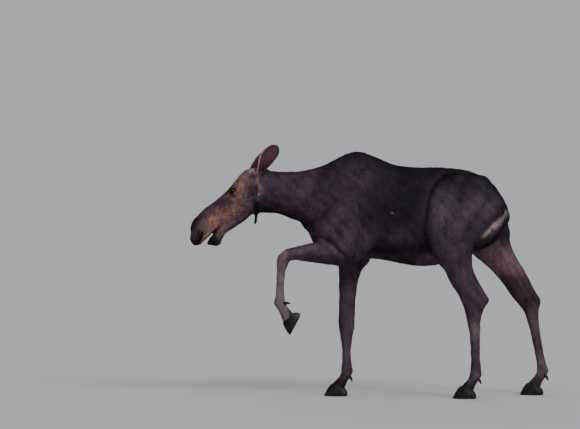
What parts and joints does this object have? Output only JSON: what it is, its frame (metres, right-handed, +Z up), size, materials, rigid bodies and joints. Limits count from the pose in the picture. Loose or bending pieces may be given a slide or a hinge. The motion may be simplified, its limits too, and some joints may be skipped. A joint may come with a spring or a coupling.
{
  "type": "moose",
  "caption": "Still, life-size cow moose without antlers, stepping forward with its left foreleg lifted and its head low and forward, standing on three hooves.",
  "frame": {"origin": "on the floor, under the centre of the bounding box", "axes": "+Z up, the moose faces -Y and its left side is +X; +Y is its longest extent"},
  "size_m": [0.5846, 2.4926, 1.7417],
  "materials": {
    "dark_coat": "short dark brown coat",
    "face_coat": "short brown coat",
    "leg_coat": "short brown coat",
    "hoof_horn": "dull black horn",
    "eye": "wet dark brown"
  },
  "bodies": {
    "root": {"bell": "dark_coat", "dewclaw_fore_left_inner": "hoof_horn", "dewclaw_fore_left_outer": "hoof_horn", "dewclaw_fore_right_inner": "hoof_horn", "dewclaw_fore_right_outer": "hoof_horn", "dewclaw_hind_left_inner": "hoof_horn", "dewclaw_hind_left_outer": "hoof_horn", "dewclaw_hind_right_inner": "hoof_horn", "dewclaw_hind_right_outer": "hoof_horn", "ear_left": "face_coat", "ear_right": "face_coat", "eye_left": "eye", "eye_right": "eye", "fore_left_cannon": "leg_coat", "fore_left_foot": "leg_coat", "fore_right_cannon": "leg_coat", "fore_right_foot": "leg_coat", "foreleg_left": "leg_coat", "foreleg_right": "leg_coat", "head": "face_coat", "hind_left_cannon": "leg_coat", "hind_left_foot": "leg_coat", "hind_right_cannon": "leg_coat", "hind_right_foot": "leg_coat", "hindleg_left": "leg_coat", "hindleg_right": "leg_coat", "hoof_fore_left_inner": "hoof_horn", "hoof_fore_left_outer": "hoof_horn", "hoof_fore_right_inner": "hoof_horn", "hoof_fore_right_outer": "hoof_horn", "hoof_hind_left_inner": "hoof_horn", "hoof_hind_left_outer": "hoof_horn", "hoof_hind_right_inner": "hoof_horn", "hoof_hind_right_outer": "hoof_horn", "lower_jaw": "face_coat", "neck": "dark_coat", "tail": "dark_coat", "trunk": "dark_coat"}
  },
  "joints": []
}
